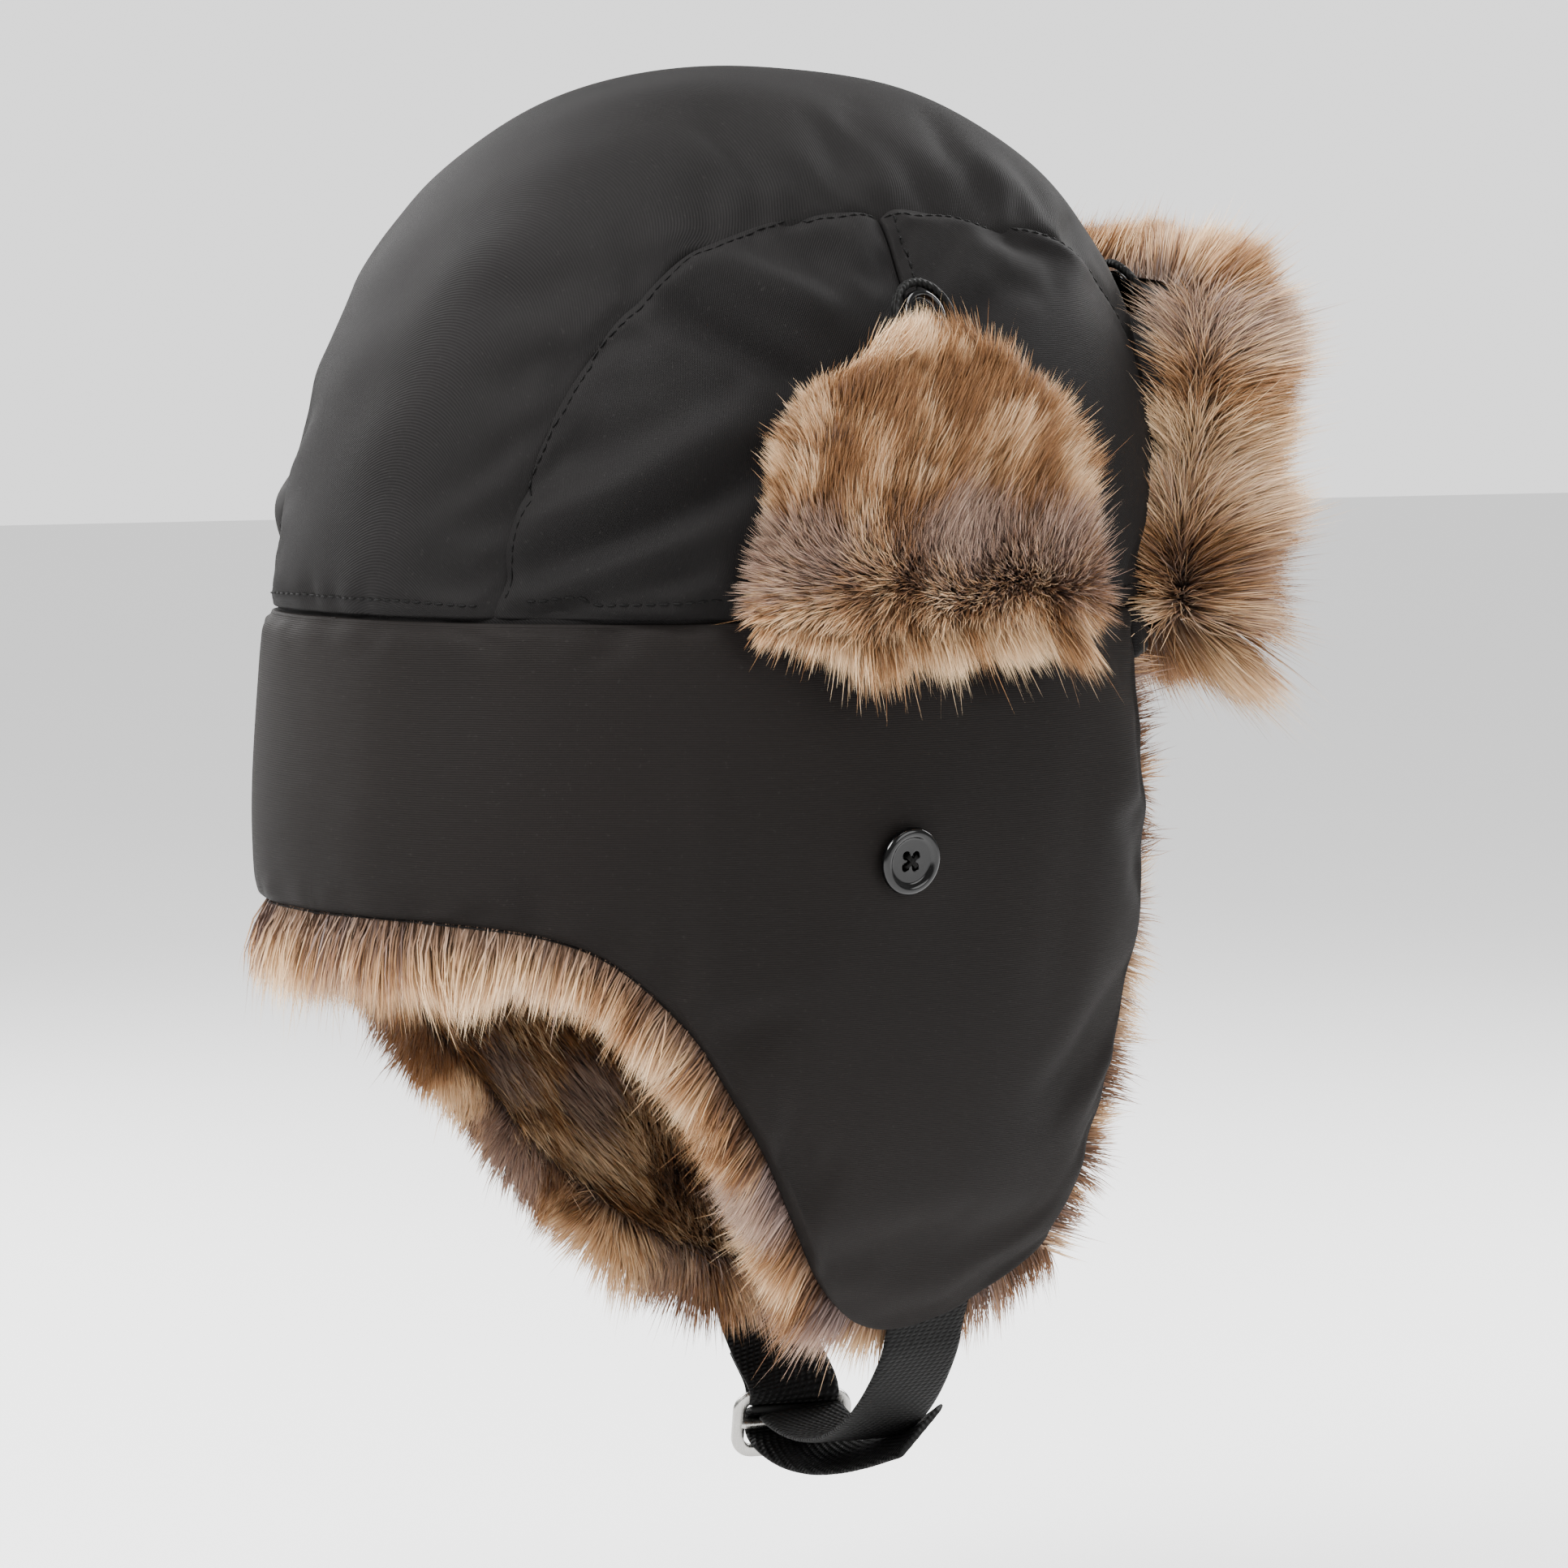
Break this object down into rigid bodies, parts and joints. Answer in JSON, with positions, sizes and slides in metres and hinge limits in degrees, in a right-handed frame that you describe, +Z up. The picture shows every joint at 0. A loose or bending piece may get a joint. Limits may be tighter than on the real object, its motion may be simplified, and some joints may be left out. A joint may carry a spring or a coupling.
{
  "type": "trapper hat",
  "caption": "Padded trapper hat with a rounded crown, fur-lined neck and ear flaps, fold-up fur visor and side flaps, and a buckled chin strap.",
  "frame": {"origin": "centre of the head opening, level with the seam between crown and neck panels", "axes": "+Z up through the crown, the hat faces -Y, +X to the wearer's left"},
  "size_m": [0.24, 0.28, 0.3772],
  "materials": {
    "shell_fabric": "charcoal black fine twill with a soft sheen",
    "fur": "long pile artificial fur, cream tips over tan and dark brown",
    "lining": "black quilted satin",
    "wadding": "off-white fibre wadding",
    "button": "polished black",
    "thread": "black sewing thread",
    "elastic": "black braided elastic",
    "webbing": "black ribbed webbing",
    "buckle": "satin nickel"
  },
  "bodies": {
    "hat": {"crown_centre_panel": "shell_fabric", "crown_side_front_left": "shell_fabric", "crown_side_front_right": "shell_fabric", "crown_side_rear_left": "shell_fabric", "crown_side_rear_right": "shell_fabric", "crown_wadding": "wadding", "crown_lining": "lining", "lining_binding": "lining", "neck_panel_left": "shell_fabric", "neck_panel_right": "shell_fabric", "neck_wadding_left": "wadding", "neck_wadding_right": "wadding", "neck_fur_left": "fur", "neck_fur_right": "fur", "forehead_band": "shell_fabric", "forehead_fur": "fur", "visor_button_left": "button", "visor_button_right": "button", "side_button_left": "button", "side_button_right": "button", "ear_button_left": "button", "ear_button_right": "button", "visor_thread_left": "thread", "visor_thread_right": "thread", "side_thread_left": "thread", "side_thread_right": "thread", "ear_thread_left": "thread", "ear_thread_right": "thread"},
    "visor": {"visor_shell": "shell_fabric", "visor_wadding": "wadding", "visor_fur": "fur", "visor_loop_left": "elastic", "visor_loop_right": "elastic"},
    "side_flap_left": {"side_flap_shell_left": "shell_fabric", "side_flap_wadding_left": "wadding", "side_flap_fur_left": "fur", "side_loop_left": "elastic"},
    "side_flap_right": {"side_flap_shell_right": "shell_fabric", "side_flap_wadding_right": "wadding", "side_flap_fur_right": "fur", "side_loop_right": "elastic"},
    "ear_flap_left": {"ear_flap_shell_left": "shell_fabric", "ear_flap_wadding_left": "wadding", "ear_flap_fur_left": "fur", "strap_short_left": "webbing"},
    "ear_flap_right": {"ear_flap_shell_right": "shell_fabric", "ear_flap_wadding_right": "wadding", "ear_flap_fur_right": "fur", "strap_long_right": "webbing"},
    "buckle": {"strap_tail": "webbing", "buckle_frame": "buckle"}
  },
  "joints": [
    {"name": "visor_fold", "type": "hinge", "parent": "hat", "child": "visor", "pos_m": [0, -0.136, -0.003], "axis": [1, 0, 0], "range_deg": [0, 150]},
    {"name": "side_flap_left_fold", "type": "hinge", "parent": "hat", "child": "side_flap_left", "pos_m": [0.1095, 0, -0.002], "axis": [0, 1, 0], "range_deg": [0, 165]},
    {"name": "side_flap_right_fold", "type": "hinge", "parent": "hat", "child": "side_flap_right", "pos_m": [-0.1095, 0, -0.002], "axis": [0, -1, 0], "range_deg": [0, 165]},
    {"name": "ear_flap_left_fold", "type": "hinge", "parent": "hat", "child": "ear_flap_left", "pos_m": [0.0975, -0.0135, -0.0795], "axis": [0, 0.9772, -0.2124], "range_deg": [-150, 0]},
    {"name": "ear_flap_right_fold", "type": "hinge", "parent": "hat", "child": "ear_flap_right", "pos_m": [-0.0975, -0.0135, -0.0795], "axis": [0, -0.9772, 0.2124], "range_deg": [-150, 0]},
    {"name": "buckle_swing", "type": "hinge", "parent": "ear_flap_left", "child": "buckle", "pos_m": [0.027, -0.0473, -0.2193], "axis": [0.342, 0.9397, 0], "range_deg": [-35, 0]}
  ]
}
